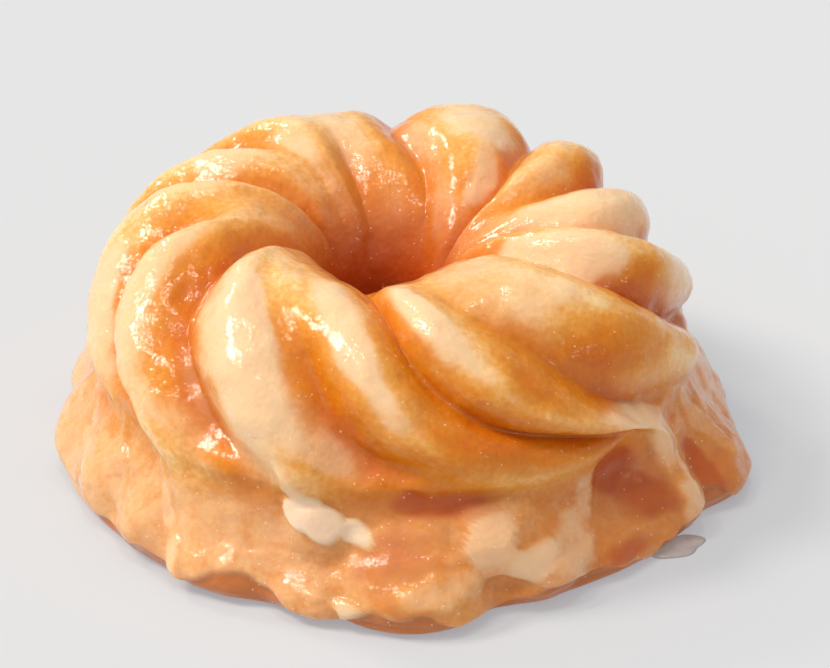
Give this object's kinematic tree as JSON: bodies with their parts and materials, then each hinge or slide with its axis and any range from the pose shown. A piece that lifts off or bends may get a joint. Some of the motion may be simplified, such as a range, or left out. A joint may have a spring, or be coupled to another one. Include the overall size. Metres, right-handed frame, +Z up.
{
  "type": "cruller doughnut",
  "caption": "Round glazed cruller doughnut: piped spiral ridges round a small hole, on a lumpy foot with a flat underside.",
  "frame": {"origin": "middle of the underside, on the surface it rests on", "axes": "+Z up along the hole, +Y away from the front, +X to the right"},
  "size_m": [0.088, 0.0904, 0.0352],
  "materials": {
    "glazed_crust": "browned choux crust under a thin sugar glaze"
  },
  "bodies": {
    "root": {"cruller": "glazed_crust"}
  },
  "joints": []
}
